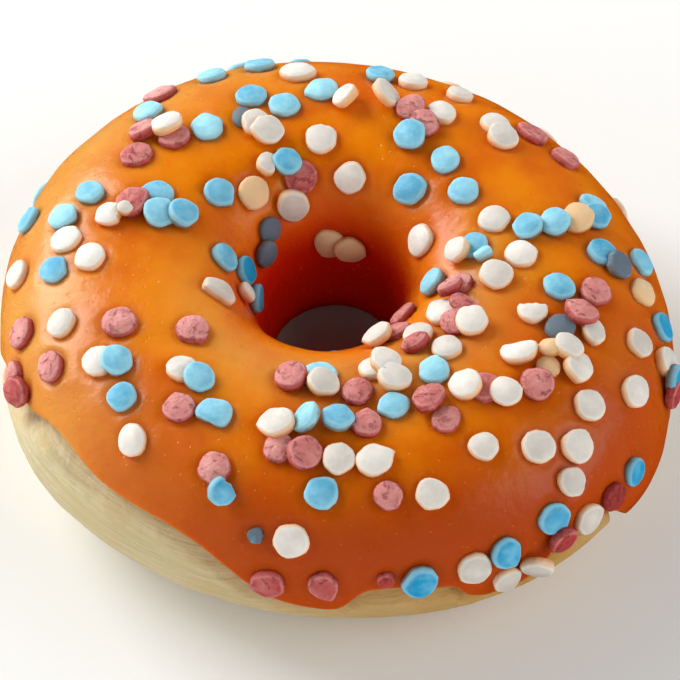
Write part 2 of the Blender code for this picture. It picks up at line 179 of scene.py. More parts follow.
# Where the icing is tinted with painted sheen and painted shade, and where the dough is tinted browner, as
# bumps round the ring and fades over it.
# Painted shade: the icing is darker and redder low on its side, most at the front and a little elsewhere.
ICING_FRONT_SHADE = (292.0, 66.0, 0.88, 4)
FRONT_SHADE_ELSEWHERE = 0.1
# Painted shade in the hole is darkest on the side that the key light reaches.
HOLE_LIT_SIDE = (350.0, 55.0, 1.0, 2)
# Painted sheen: the icing is paler on the flank and on the lip of the hole that face the light.
FLANK_SHEEN = (165.0, 66.0, 0.85, 4)
FLANK_SHEEN_FADE = (88.0, 48.0)
LIP_SHEEN = (285.0, 95.0, 0.6, 4)
LIP_SHEEN_HEIGHT = (106.0, 15.0, 1.0, 2)
# The dough is browner at the front.
DOUGH_BROWNER_FRONT = (300.0, 45.0, 1.0, 2)

# Dough: its relief, and how long and how fine its streaks are.
DOUGH_UNEVENNESS = 0.9 * MM
DOUGH_LUMPS = (75.0, 3.0)
DOUGH_STREAKS = 0.35 * MM
STREAKS = (1.0, 3.0)
STREAK_LENGTH = 2.6
STREAK_FINENESS = 0.30

# The radius that a ring of lines has before its points are moved to their places.
FIRST_RADIUS = 0.2

# A sprinkle's shape: rings as radius and level, from its underside up, then the middle of its top, and
# its size beside the one in the solids. Its outline is out of round by chance, and in places pointed.
DROP_SIDES = 22
DROP_RINGS = ((0.95, -1.0), (1.0, 0.45), (0.86, 1.0))
DROP_DOME = 1.08
DROP_SIZE = 0.94
SPRINKLE_OVAL = 0.09
OUTLINE_UNEVENNESS = 0.3
OUTLINE_NOISE = (1.3, 1.0)
OUTLINE_VARIETY = 300.0
POINTED_SHARE = 0.35
POINT_SIZE = (0.06, 0.22)
POINT_SHARPNESS = 12.0
BREAK_NOISE = (3.0, 2.0)
BREAK_NOISE_LEVEL = 5.0
BREAK_JAGGEDNESS = 0.35
CRUMBLE_NOISE = (420.0, 2.0)

# Sprinkles over each other: how near two middles come before the upper one rises, and by what share of
# the lack. The letters are in order from the lowest.
STACK_REACH = 3.4 * MM
STACK_LIFT = 0.4
STACK_ORDER = "yrgpbw"

# The film of icing on sprinkles in the hole: how near the axis, and from how far under the crest.
HOLE_FILM_RADIUS = 15.0 * MM
HOLE_FILM_FADE = (8.5 * MM, 12.0 * MM)

# Painted light: a sprinkle is paler the more it faces this side, where the light comes from, and a little by
# chance.
LIT_SIDE = Vector((-0.4, 0.3, 0.85))
PAINTED_LIGHT_BY_SIDE = 0.7
SHADE_BY_CHANCE = 0.3

# The finish of the icing. Its sheen clouds are the share of the painted sheen that comes in clouds.
ICING_CLOUDS = (90.0, 4.0)
ICING_CLOUD_FADE = (0.35, 0.66)
ICING_SHEEN_CLOUDS = 0.35
# Where the painted shade low on the side starts and where it is full.
ICING_LOW_SHADE_FADE = (92.0, 32.0)
# Painted shade round the sprinkles.
ICING_SPRINKLE_SHADE_FADE = (0.2, 0.82)
ICING_SPRINKLE_SHADE_SHARE = 0.35
# Painted shade in the hole: the icing turns deep red from the first height to the second.
ICING_HOLE_SHADE_FADE = (122.0, 174.0)
ICING_THIN_FADE = (2.5 * MM, 0.0)
ICING_THIN_SHARE = 0.55
SPECK_SCALE = 700.0
SPECK_FADE = (0.16, 0.077)
SPECK_SHARE = 0.25
SPECK_DEPTH = 0.2
ICING_GLOSS = (0.22, 0.14)
ICING_GLOSS_NOISE = (260.0, 3.0)
ICING_PORES = (900.0, 3.0, 0.6)
ICING_PORE_DEPTH = 0.35
ICING_DIMPLES = (220.0, 2.0)
ICING_GRAIN = 0.22 * MM

# The finish of the dough. Its brown patches are a least share and how much a noise adds to it.
DOUGH_STREAK_NOISE = (1.6, 5.0, 0.65)
DOUGH_STREAK_FADE = (0.3, 0.72)
DOUGH_PATCHES = (110.0, 4.0)
DOUGH_WARM_FADE = (0.5, 0.75)
DOUGH_WARM_SHARE = 0.5
DOUGH_BROWN_PATCHES = (0.75, 0.4)
DOUGH_FRIED_FADE = (40.0, 16.0)
DOUGH_FRIED_SHARE = 0.8
DOUGH_GLOSS = (0.72, 0.15)
DOUGH_CRUMBS = (1500.0, 3.0, 0.7)
DOUGH_CRUMB_DEPTH = 0.5
DOUGH_PITS = (420.0, 2.0)
DOUGH_GRAIN = 0.4 * MM

# The finish of the sprinkles. Reach is the distance from the middle of the top, with 1 at the rim.
BLOTS = (380.0, 4.0, 0.6)
BLOT_FADE = (0.3, 0.755)
BLOT_SHARE = 0.4
SHADE_MIDDLE = 0.55
SHADE_CONTRAST = 1.8
PALE_REACH_FADE = (0.72, 0.97)
PALE_SHARE = 0.5
RIM_FADE = (0.87, 0.98)
RIM_WANDER = 0.3
CRACKS = (850.0, 4.0, 0.7, 0.6)
CRACK_FADE = (0.46, 0.293)
FILM_FADE = (0.22, 0.42)
FILM_SHARE = 0.9
FOOT_FADE = (0.3, -0.61)
FOOT_WANDER = 2.5
FOOT_SHARE = 0.75
SPRINKLE_GLOSS_CHANGE = 0.2
SUGAR_GRAINS = (2400.0, 3.0, 0.7)
SUGAR_GRAIN_DEPTH = 0.5
SUGAR_LUMPS = (800.0, 3.0)


def colour(red, green, blue):
    """A colour given by its screen values from 0 to 255."""
    shares = (channel / 255.0 for channel in (red, green, blue))
    linear = [share / 12.92 if share <= 0.04045 else ((share + 0.055) / 1.055) ** 2.4 for share in shares]
    return (*linear, 1.0)


ICING_DEEP = colour(218, 104, 1)
ICING_LIGHT = colour(238, 134, 1)
# The colour of the painted shade low at the front.
ICING_LOW_SHADE = colour(182, 68, 8)
# The colour of the painted sheen.
ICING_SHEEN = colour(224, 168, 84)
# The colour of the painted shade round the sprinkles.
ICING_SPRINKLE_SHADE = colour(204, 82, 2)
# Painted shade in the hole, and its darker copy for the side that the key light reaches.
ICING_HOLE_SHADE = colour(214, 30, 5)
ICING_HOLE_LIT_SIDE_SHADE = colour(128, 14, 2)
ICING_THIN = colour(222, 140, 46)
DOUGH_PALE = colour(221, 209, 173)
DOUGH_SHADE = colour(203, 187, 143)
DOUGH_WARM = colour(208, 184, 128)
DOUGH_FRIED = colour(196, 138, 74)
DOUGH_BROWN = colour(186, 142, 72)
FLOOR_LIGHT = colour(246, 246, 245)
FLOOR_WHITE = colour(252, 252, 251)

# Kinds of sprinkle: letters, then colours (deep, pale, stained by icing, under a film, and a painted shade in
# its cracks), roughness, depth of the grain, how cracked it is, how stained its rim is and how crumbled it
# is.
SPRINKLE_KINDS = {
    "sprinkles_blue": (
        "bg", (colour(10, 152, 202), colour(176, 236, 250), colour(128, 126, 112), colour(104, 108, 118),
               colour(26, 124, 172)),
        0.5, 0.14 * MM, 0.12, 0.2, 0.35 * MM,
    ),
    "sprinkles_white": (
        "wy", (colour(208, 200, 190), colour(248, 244, 236), colour(240, 180, 108), colour(238, 196, 142),
               colour(226, 208, 184)),
        0.42, 0.12 * MM, 0.08, 0.6, 0.4 * MM,
    ),
    "sprinkles_pink": (
        "pr", (colour(184, 60, 60), colour(242, 172, 166), colour(178, 50, 44), colour(160, 50, 46),
               colour(184, 66, 64)),
        0.55, 0.45 * MM, 0.62, 0.7, 0.5 * MM,
    ),
}

# Lights: bearing, elevation, distance, size, power and tint. The sky fills the shadows. It is dimmer
# towards its top, and dark at the very top, so that the hole stays dark.
LIGHTS = {
    "key": (143.0, 31.0, 1.0, 0.62, 9.8, (1.0, 0.99, 0.97)),
    "side": (345.0, 35.0, 1.2, 0.8, 3.8, (1.0, 0.98, 0.95)),
}
SKY_COLOUR = (1.0, 1.0, 1.0, 1.0)
SKY_STRENGTH = 1.5
SKY_DIMMING = 0.96
SKY_TOP_FADE = (0.9, 0.78)
FLOOR_SIZE = 4.0
FLOOR_CLOUDS = (3.0, 2.0)

# The kind of socket that takes each kind of input.
SOCKET_KINDS = {
    int: "NodeSocketInt",
    float: "NodeSocketFloat",
    bpy.types.Object: "NodeSocketObject",
    bpy.types.Material: "NodeSocketMaterial",
}

# Camera: where it looks from, in degrees and metres, and the picture it fills.
CAMERA_ELEVATION = 50.5
CAMERA_ROLL = -1.0
CAMERA_DISTANCE = 10.05 * OUTER_RADIUS
PICTURE_SIZE = 680
FOCAL_PIXELS = 3370.0
PICTURE_CENTRE = (333.3, 332.5)
SENSOR_WIDTH = 36.0
CAMERA_CLIP = (0.01, 20.0)


class Value:
    """The value of one socket. Arithmetic on it adds Math nodes beside the socket's own node."""

    def __init__(self, graph, socket):
        self.graph = graph
        self.socket = socket

    def math(self, operation, *others):
        """A Math node on this value and others."""
        feeds = dict(enumerate((self, *others)))
        return self.graph.node("ShaderNodeMath", {"operation": operation}, feeds)

    def __add__(self, other):
        return self.math("ADD", other)

    __radd__ = __add__

    def __sub__(self, other):
        return self.math("SUBTRACT", other)

    def __rsub__(self, other):
        return (self * -1.0) + other

    def __mul__(self, other):
        return self.math("MULTIPLY", other)

    __rmul__ = __mul__

    def __truediv__(self, other):
        return self.math("DIVIDE", other)

    def __pow__(self, other):
        return self.math("POWER", other)

    def __mod__(self, other):
        return self.math("FLOORED_MODULO", other)

    def __abs__(self):
        return self.math("ABSOLUTE")

    def __gt__(self, other):
        return self.math("GREATER_THAN", other)

    def __lt__(self, other):
        return self.math("LESS_THAN", other)


class Graph:
    """Adds nodes to one tree."""

    def __init__(self, tree):
        self.tree = tree

    def node(self, kind, settings=None, feeds=None, output=0):
        """A node with its settings made first, then its sockets fed, as the value of one output."""
        made = self.tree.nodes.new(kind)
        for name, setting in (settings or {}).items():
            setattr(made, name, setting)
        for name, feed in (feeds or {}).items():
            if isinstance(feed, Value):
                self.tree.links.new(feed.socket, made.inputs[name])
            else:
                made.inputs[name].default_value = feed
        return Value(self, made.outputs[output])

    def mix_colour(self, share, first, second):
        """A colour between two colours."""
        return self.node("ShaderNodeMix", {"data_type": "RGBA"}, {0: share, 6: first, 7: second}, 2)

    def vector(self, x, y, z):
        """A vector of three values."""
        return self.node("ShaderNodeCombineXYZ", {}, {0: x, 1: y, 2: z})

    def axes(self, vector):
        """The x, y and z of a vector."""
        parted = self.node("ShaderNodeSeparateXYZ", {}, {0: vector}).socket.node
        return [Value(self, output) for output in parted.outputs]

    def vector_math(self, operation, first, second, socket=1):
        """A Vector Math node on two inputs."""
        return self.node("ShaderNodeVectorMath", {"operation": operation}, {0: first, socket: second})

    def noise(self, place, scale, detail=2.0, roughness=0.5, distortion=0.0):
        """Soft noise from 0 to 1."""
        return self.node("ShaderNodeTexNoise", {}, {
            "Vector": place, "Scale": scale, "Detail": detail,
            "Roughness": roughness, "Distortion": distortion,
        })

    def cells(self, place, scale):
        """Distance to the nearest of some scattered points, in cells."""
        return self.node("ShaderNodeTexVoronoi", {}, {"Vector": place, "Scale": scale})


def sine(angle):
    """Sine of degrees, of a value or a number."""
    turned = angle * math.radians(1.0)
    return turned.math("SINE") if isinstance(angle, Value) else np.sin(turned)


def cosine(angle):
    """Cosine of degrees, of a value or a number."""
    turned = angle * math.radians(1.0)
    return turned.math("COSINE") if isinstance(angle, Value) else np.cos(turned)


def exponential(value):
    """e to the power of a value or a number."""
    return value.math("EXPONENT") if isinstance(value, Value) else np.exp(value)


def sign_of(value):
    """-1, 0 or 1."""
    return value.math("SIGN") if isinstance(value, Value) else np.sign(value)


def smaller(value, limit):
    """The smaller of a value and a limit."""
    return value.math("MINIMUM", limit) if isinstance(value, Value) else np.minimum(value, limit)


def larger(value, limit):
    """The larger of a value and a limit."""
    return value.math("MAXIMUM", limit) if isinstance(value, Value) else np.maximum(value, limit)


def pick(mask, there, elsewhere):
    """One value where the mask is 1, and another where it is 0."""
    return (there - elsewhere) * mask + elsewhere


def smooth_step(value):
    """Ease from 0 to 1."""
    share = smaller(larger(value, 0.0), 1.0)
    return share * share * (3.0 - 2.0 * share)


def fade(value, start, full):
    """Ease from 0 at one value to 1 at another."""
    return smooth_step((value - start) / (full - start))


def bump(angle, centre, half_width, size, steepness):
    """A smooth flat-topped rise round one bearing or height."""
    away = (angle - centre + 180.0) % 360.0 - 180.0
    return exponential((abs(away / half_width) ** steepness) * -1.0) * size


def waves(bearing, terms):
    """The sum of some waves round the ring: turns, size and phase in degrees."""
    return sum(sine(bearing * turns + phase) * size for turns, size, phase in terms)


def cosine_waves(bearing, terms):
    """The sum of waves given by their cosine and sine shares."""
    return sum(cosine(bearing * turns) * even + sine(bearing * turns) * odd for turns, even, odd in terms)


def signed_power(value, power):
    """Keep the sign of value and raise its size to a power."""
    return sign_of(value) * abs(value) ** power


def quarter_power(out, up, corners):
    """The power for each quarter of the section: outer top, inner top, inner bottom, outer bottom."""
    outer_top, inner_top, inner_bottom, outer_bottom = (2.0 / corner for corner in corners)
    outside = out > 0.0
    top = pick(outside, outer_top, inner_top)
    bottom = pick(outside, outer_bottom, inner_bottom)
    return pick(up > 0.0, top, bottom)


def ring_place(bearing, height, inset=0.0):
    """The x, y and z of a place on the ring, or at a depth under it."""
    out = cosine(height)
    up = sine(height)
    outline = cosine_waves(bearing, OUTLINE_WAVES) + 1.0
    hole = (cosine_waves(bearing, HOLE_WAVES) + 1.0) * HOLE_RADIUS
    hole += cosine(bearing) * HOLE_SHIFT[0] + sine(bearing) * HOLE_SHIFT[1]
    crest = outline * CREST_RADIUS
    reach = pick(out > 0.0, outline * OUTER_RADIUS - crest, crest - hole) - inset
    tilt = cosine(bearing) * CREST_TILT[0] + sine(bearing) * CREST_TILT[1] + 1.0
    rise = pick(up > 0.0, tilt * RISE_ABOVE_SIDE, DEPTH_BELOW_SIDE) - inset
    radius = crest + reach * signed_power(out, quarter_power(out, up, SECTION_SQUARENESS))
    radius = radius - bump(height, *WAIST)
    z = rise * signed_power(up, quarter_power(out, up, SECTION_FLATNESS)) + SIDE_HEIGHT
    return radius * cosine(bearing) + CENTRE_SHIFT[0], radius * sine(bearing) + CENTRE_SHIFT[1], z


def ring_point(bearing, height):
    """A point on the ring."""
    return Vector(map(float, ring_place(bearing, height)))


def ring_steps(bearing, height):
    """How a point moves for one degree of bearing, and for one degree of height."""
    along = ring_point(bearing + 0.5, height) - ring_point(bearing - 0.5, height)
    over = ring_point(bearing, height + 0.5) - ring_point(bearing, height - 0.5)
    return along, over


def ring_normal(bearing, height):
    """The direction straight out of the surface at a place."""
    along, over = ring_steps(bearing, height)
    return along.cross(over).normalized()


def icing_edge(bearing):
    """Height at which the icing ends on the outer side."""
    lifts = sum(bump(bearing, *shape) for shape in EDGE_SHAPES)
    back = sine(bearing) * 0.5 + 0.5
    return lifts + back * waves(bearing, EDGE_WAVES) + EDGE_HEIGHT


def hole_edge(bearing):
    """Height at which the icing ends in the hole."""
    return waves(bearing, HOLE_EDGE_WAVES) + HOLE_EDGE_HEIGHT


def icing_thickness(bearing, height):
    """The icing's thickness away from its edges: even, but for the swollen foot of the longest drip."""
    return fade(height, DRIP_TOP_HEIGHT, DRIP_FULL_HEIGHT) * bump(bearing, *DRIP) + ICING_THICKNESS


def dough_inset(bearing, height):
    """How far the dough lies below the ring: deep under the icing, little below its edges."""
    signed = (height + 180.0) % 360.0 - 180.0
    beyond_side = icing_edge(bearing) - signed
    beyond_hole = height % 360.0 - hole_edge(bearing)
    bare = smooth_step(pick(cosine(height) > 0.0, beyond_side, beyond_hole) / SWELL_HEIGHT)
    under_icing = ICING_THICKNESS + ICING_GAP
    belly = BELLY_INSET - bump(bearing, *BELLY)
    return (belly - under_icing) * bare + under_icing


class Sprinkle:
    """One sprinkle: its middle, the way it faces, its turn, its radius, its letter and its oddness."""

    def __init__(self, bearing, height, letter, chance, taken):
        height = min(max(height, icing_edge(bearing) + EDGE_MARGIN), hole_edge(bearing) - EDGE_MARGIN)
        self.letter = letter
        self.oddness = WHOLE
        self.radius = SPRINKLE_RADIUS * (1.0 + SPRINKLE_SPREAD * chance.uniform(-1.0, 1.0))
        self.turn = chance.uniform(0.0, 2.0 * math.pi)
        self.face = ring_normal(bearing, height)
        self.centre = ring_point(bearing, height) + self.face * (SPRINKLE_THICKNESS / 2.0 - SPRINKLE_SUNK)
        if letter.isupper():
            side = ring_steps(bearing, height)[0].normalized() * chance.choice((-1.0, 1.0))
            side.rotate(Quaternion(self.face, chance.uniform(-TIP_SWING, TIP_SWING)))
            self.lift_one_side(side, TIP_ANGLE, TIP_RISE_SHARE)
        else:
            self.lean_on(taken)

    def lift_one_side(self, side, angle, rise_share):
        """Turn to face towards a side, rising so that the rim there stays in the icing."""
        angle = math.radians(angle)
        self.centre += self.face * (self.radius * math.sin(angle) * rise_share)
        self.face = (self.face * math.cos(angle) + side * math.sin(angle)).normalized()

    def lean_on(self, taken):
        """Lie against the sprinkles that are already in this one's way."""
        away = Vector()
        most = 0.0
        for other in taken:
            apart = self.centre - other.centre
            overlap = self.radius + other.radius - apart.length
            if overlap > 0.0:
                away += apart - self.face * apart.dot(self.face)
                most = max(most, overlap)
        if most > 0.0:
            self.lift_one_side(away.normalized(), LEAN_ANGLE * min(most / LEAN_OVERLAP, 1.0), 1.0)


def row_places(first_bearing, first_height, last_bearing, last_height, letters):
    """The even places of one row, going the short way round."""
    turn = (last_bearing - first_bearing + 180.0) % 360.0 - 180.0
    for number, letter in enumerate(letters):
        share = number / max(len(letters) - 1, 1)
        yield first_bearing + turn * share, first_height + (last_height - first_height) * share, letter


def place_under(bearing, height):
    """The place of a sprinkle whose raised top is seen in front of a place."""
    face = ring_normal(bearing, height)
    slip = (SHOWN_SIDE / max(face.dot(SHOWN_SIDE), LEAST_FACING) - face) * TOP_RISE
    along, over = ring_steps(bearing, height)
    return bearing + slip.dot(along) / along.length_squared, height + slip.dot(over) / over.length_squared


def laid_sprinkles(chance):
    """The sprinkles of all the rows, each a little off its even place."""
    sprinkles = []
    for row in ROWS:
        for bearing, height, letter in row_places(*row):
            bearing, height = place_under(bearing, height)
            bearing += PLACE_JITTER * chance.uniform(-1.0, 1.0)
            height += PLACE_JITTER * chance.uniform(-1.0, 1.0)
            sprinkles.append(Sprinkle(bearing % 360.0, height, letter, chance, sprinkles))
    return sprinkles


def spread_sprinkles(chance, sprinkles):
    """Add sprinkles by chance where no row is, each clear of the rest."""
    wanted = len(sprinkles) + SPREAD_COUNT
    for _ in range(SPREAD_TRIES):
        bearing = chance.uniform(0.0, 360.0)
        height = chance.uniform(icing_edge(bearing) + EDGE_MARGIN, hole_edge(bearing) - EDGE_MARGIN)
        limit = HIDDEN_FACING if height < 90.0 else HOLE_HIDDEN_FACING
        letter = chance.choice(SPREAD_COLOURS)
        if ring_normal(bearing, height).dot(SHOWN_SIDE) > limit:
            continue
        place = ring_point(bearing, height)
        if all((place - other.centre).length > SPREAD_CLEARANCE for other in sprinkles):
            sprinkles.append(Sprinkle(bearing, height, letter, chance, sprinkles))
        if len(sprinkles) == wanted:
            break


def lift_stacked(sprinkles):
    """Raise the upper one of two sprinkles that lie over each other, so that they don't cut through."""
    ranks = [
        (STACK_ORDER.index(sprinkle.letter.lower()), number)
        for number, sprinkle in enumerate(sprinkles)
    ]
    for _, number in sorted(ranks):
        sprinkle = sprinkles[number]
        gaps = [
            (other.centre - sprinkle.centre).length
            for rank, other in zip(ranks, sprinkles)
            if rank < ranks[number]
        ]
        closest = min(gaps, default=STACK_REACH)
        sprinkle.centre += sprinkle.face * (max(STACK_REACH - closest, 0.0) * STACK_LIFT)


def geometry_tree(name, inputs):
    """A geometry tree with named inputs, as its graph and the value of each input."""
    tree = bpy.data.node_groups.new(name, "GeometryNodeTree")
    tree.interface.new_socket("Geometry", in_out="INPUT", socket_type="NodeSocketGeometry")
    tree.interface.new_socket("Geometry", in_out="OUTPUT", socket_type="NodeSocketGeometry")
    for label, setting in inputs.items():
        tree.interface.new_socket(label, in_out="INPUT", socket_type=SOCKET_KINDS[type(setting)])
    graph = Graph(tree)
    entry = tree.nodes.new("NodeGroupInput")
    return graph, {label: Value(graph, entry.outputs[label]) for label in ("Geometry", *inputs)}


def end_tree(graph, shape, material):
    """Realise the shape, give it its material and make it what the tree puts out."""
    shape = graph.node("GeometryNodeRealizeInstances", {}, {0: shape})
    shape = graph.node("GeometryNodeSetMaterial", {}, {"Geometry": shape, "Material": material})
    leave = graph.tree.nodes.new("NodeGroupOutput")
    graph.tree.links.new(shape.socket, leave.inputs[0])


def run_tree(name, graph, inputs, start=None):
    """The plain mesh that a tree makes from its inputs, as an object."""
    source = bpy.data.objects.new(name + " source", start or bpy.data.meshes.new(name + " source"))
    bpy.context.scene.collection.objects.link(source)
    modifier = source.modifiers.new(name, "NODES")
    modifier.node_group = graph.tree
    for item in graph.tree.interface.items_tree:
        if item.in_out == "INPUT" and item.name in inputs:
            modifier[item.identifier] = inputs[item.name]
    bpy.context.view_layer.update()
    depsgraph = bpy.context.evaluated_depsgraph_get()
    mesh = bpy.data.meshes.new_from_object(source.evaluated_get(depsgraph))
    mesh.name = name
    source.modifiers.remove(modifier)
    bpy.data.objects.remove(source)
    piece = bpy.data.objects.new(name, mesh)
    bpy.context.scene.collection.objects.link(piece)
    return piece


def object_shape(graph, source):
    """The shape of another object."""
    return graph.node("GeometryNodeObjectInfo", {}, {"Object": source}, "Geometry")


def ring_of_lines(graph, sections, lines):
    """A ring of quads, with the section and the line of each of its points."""
    circle = "GeometryNodeCurvePrimitiveCircle"
    path = graph.node(circle, {"mode": "RADIUS"}, {"Resolution": sections})
    profile = graph.node(circle, {"mode": "RADIUS"}, {"Resolution": lines, "Radius": FIRST_RADIUS})
    shape = graph.node("GeometryNodeCurveToMesh", {}, {"Curve": path, "Profile Curve": profile})
    index = graph.node("GeometryNodeInputIndex")
    section = (index / lines).math("FLOOR")
    return shape, section, index - section * lines


def store(graph, shape, name, kind, value):
    """Keep a value on each point under a name."""
    settings = {"data_type": kind, "domain": "POINT"}
    feeds = {"Geometry": shape, "Name": name, "Value": value}
    return graph.node("GeometryNodeStoreNamedAttribute", settings, feeds)


def set_places(graph, shape, place):
    """Move each point to a place."""
    return graph.node("GeometryNodeSetPosition", {}, {"Geometry": shape, "Position": place})


def lift_points(graph, shape, distance):
    """Move each point along its normal."""
    normal = graph.node("GeometryNodeInputNormal")
    offset = graph.vector_math("SCALE", normal, distance, "Scale")
    return graph.node("GeometryNodeSetPosition", {}, {"Geometry": shape, "Offset": offset})


def shade_smooth(graph, shape):
    """Shade a shape smoothly."""
    return graph.node("GeometryNodeSetShadeSmooth", {}, {0: shape})


def build_icing(material, sprinkles):
    """The skin of icing: a rounded edge, a soft uneven top, and a rise against each sprinkle."""
    inputs = {
        "Sections": ICING_SECTIONS, "Top lines": ICING_TOP_LINES, "Under lines": ICING_UNDER_LINES,
        "Unevenness": ICING_UNEVENNESS, "Ripple": ICING_RIPPLE, "Rise": SPRINKLE_RISE,
        "Sprinkles": sprinkles, "Material": material,
    }
    graph, given = geometry_tree("icing", inputs)
    top_lines = given["Top lines"]
    shape, section, line = ring_of_lines(graph, given["Sections"], top_lines + given["Under lines"])
    bearing = section / given["Sections"] * 360.0
    on_top = line < top_lines
    over = line / (top_lines - 1.0)
    close = over - sine(over * 360.0) * EDGE_CLOSENESS
    back = 1.0 - (line - top_lines + 1.0) / (given["Under lines"] + 1.0)
    share = pick(on_top, close, back)
    first = icing_edge(bearing)
    height = first + (hole_edge(bearing) - first) * share
    from_edge = smaller(share, 1.0 - share) * ICING_LENGTH
    round_share = 1.0 - smaller(from_edge / EDGE_ROUND, 1.0)
    round_lift = larger(1.0 - round_share * round_share, 0.0) ** 0.5
    lift = (icing_thickness(bearing, height) + ICING_GAP + EDGE_SUNK) * round_lift * on_top - EDGE_SUNK
    place = graph.vector(*ring_place(bearing, height, dough_inset(bearing, height) - lift))
    shape = set_places(graph, shape, place)
    here = graph.node("GeometryNodeInputPosition")
    target = object_shape(graph, given["Sprinkles"])
    away = graph.node("GeometryNodeProximity", {"target_element": "FACES"}, {0: target}, "Distance")
    near = exponential(away * away * (-1.0 / SPRINKLE_REACH ** 2))
    broad = graph.noise(here, *ICING_SWELLS) - 0.5
    ripple = graph.noise(here, *ICING_RIPPLES) - 0.5
    relief = broad * given["Unevenness"] + ripple * given["Ripple"] + near * given["Rise"] * round_lift
    shape = store(graph, shape, "near", "FLOAT", near)
    shape = store(graph, shape, "edge", "FLOAT", from_edge)
    shape = store(graph, shape, "over", "FLOAT", height)
    # Painted shade, kept on each point: most at the front, a little elsewhere.
    shape = store(graph, shape, "pooled", "FLOAT", bump(bearing, *ICING_FRONT_SHADE) + FRONT_SHADE_ELSEWHERE)
    # Where the hole's painted shade is darkest: the side that the key light reaches.
    shape = store(graph, shape, "lit", "FLOAT", bump(bearing, *HOLE_LIT_SIDE))
    # Painted sheen on the flank and lip that face the light, kept on each point.
    flank = bump(bearing, *FLANK_SHEEN) * fade(height, *FLANK_SHEEN_FADE)
    lip = bump(bearing, *LIP_SHEEN) * bump(height, *LIP_SHEEN_HEIGHT)
    shape = store(graph, shape, "pale", "FLOAT", flank + lip)
    shape = lift_points(graph, shape, relief * on_top)
    shape = shade_smooth(graph, shape)
    end_tree(graph, shape, given["Material"])
    return run_tree("icing", graph, inputs)


def build_dough(material):
    """The ring of dough: streaked and a little lumpy where it is bare, and flat where it stands."""
    inputs = {
        "Sections": DOUGH_SECTIONS, "Hidden lines": DOUGH_HIDDEN_LINES, "Bare lines": DOUGH_BARE_LINES,
        "Unevenness": DOUGH_UNEVENNESS, "Streaks": DOUGH_STREAKS, "Material": material,
    }
    graph, given = geometry_tree("dough", inputs)
    hidden = given["Hidden lines"]
    shape, section, line = ring_of_lines(graph, given["Sections"], hidden + given["Bare lines"])
    bearing = section / given["Sections"] * 360.0
    is_hidden = line < hidden
    first = icing_edge(bearing)
    last = hole_edge(bearing)
    under = first + (last - first) * (line / hidden)
    bare = last + (first + 360.0 - last) * ((line - hidden) / given["Bare lines"])
    height = pick(is_hidden, under, bare)
    shape = set_places(graph, shape, graph.vector(*ring_place(bearing, height, dough_inset(bearing, height))))
    here = graph.node("GeometryNodeInputPosition")
    x, y = (side(bearing) * STREAK_LENGTH for side in (cosine, sine))
    along = graph.vector(x, y, height * STREAK_FINENESS)
    shape = store(graph, shape, "along", "FLOAT_VECTOR", along)
    shape = store(graph, shape, "browned", "FLOAT", bump(bearing, *DOUGH_BROWNER_FRONT))
    shape = store(graph, shape, "over", "FLOAT", height)
    broad = graph.noise(here, *DOUGH_LUMPS) - 0.5
    streak = graph.noise(along, *STREAKS) - 0.5
    relief = broad * given["Unevenness"] + streak * given["Streaks"]
    shape = lift_points(graph, shape, relief * (1.0 - is_hidden))
    x, y, z = graph.axes(graph.node("GeometryNodeInputPosition"))
    shape = set_places(graph, shape, graph.vector(x, y, larger(z, 0.0)))
    shape = shade_smooth(graph, shape)
    end_tree(graph, shape, given["Material"])
    return run_tree("dough", graph, inputs)


def drop_template():
    """A flat round drop of unit radius and unit half thickness, with a low dome on top."""
    shape = bmesh.new()
    rings = []
    for reach, level in DROP_RINGS:
        angles = [2.0 * math.pi * side / DROP_SIDES for side in range(DROP_SIDES)]
        rings.append([
            shape.verts.new((reach * math.cos(angle), reach * math.sin(angle), level)) for angle in angles
        ])
    for lower, upper in zip(rings, rings[1:]):
        for at in range(DROP_SIDES):
            shape.faces.new((lower[at - 1], lower[at], upper[at], upper[at - 1]))
    top = shape.verts.new((0.0, 0.0, DROP_DOME))
    for at in range(DROP_SIDES):
        shape.faces.new((rings[-1][at - 1], rings[-1][at], top))
    shape.faces.new(rings[0][::-1])
    mesh = bpy.data.meshes.new("drop")
    shape.to_mesh(mesh)
    shape.free()
    drop = bpy.data.objects.new("drop", mesh)
    bpy.context.scene.collection.objects.link(drop)
    return drop


def sprinkle_turn(sprinkle, bearing):
    """How a sprinkle is turned: by its own chance turn, or with its width towards a bearing."""
    if bearing is None:
        return Quaternion(sprinkle.face, sprinkle.turn) @ sprinkle.face.to_track_quat("Z", "Y")
    angle = math.radians(bearing)
    across = sprinkle.face.cross(Vector((math.cos(angle), math.sin(angle), 0.0))).normalized()
    return Matrix((across.cross(sprinkle.face), across, sprinkle.face)).transposed().to_quaternion()


def film_on(sprinkle):
    """How much icing lies on a sprinkle: all over it in a filmed place and far down the hole."""
    if sprinkle.letter in FILMED:
        return 1.0
    if math.hypot(sprinkle.centre.x, sprinkle.centre.y) > HOLE_FILM_RADIUS:
        return 0.0
    sunk = SIDE_HEIGHT + RISE_ABOVE_SIDE - sprinkle.centre.z
    bare, full = HOLE_FILM_FADE
    return min(max((sunk - bare) / (full - bare), 0.0), 1.0)


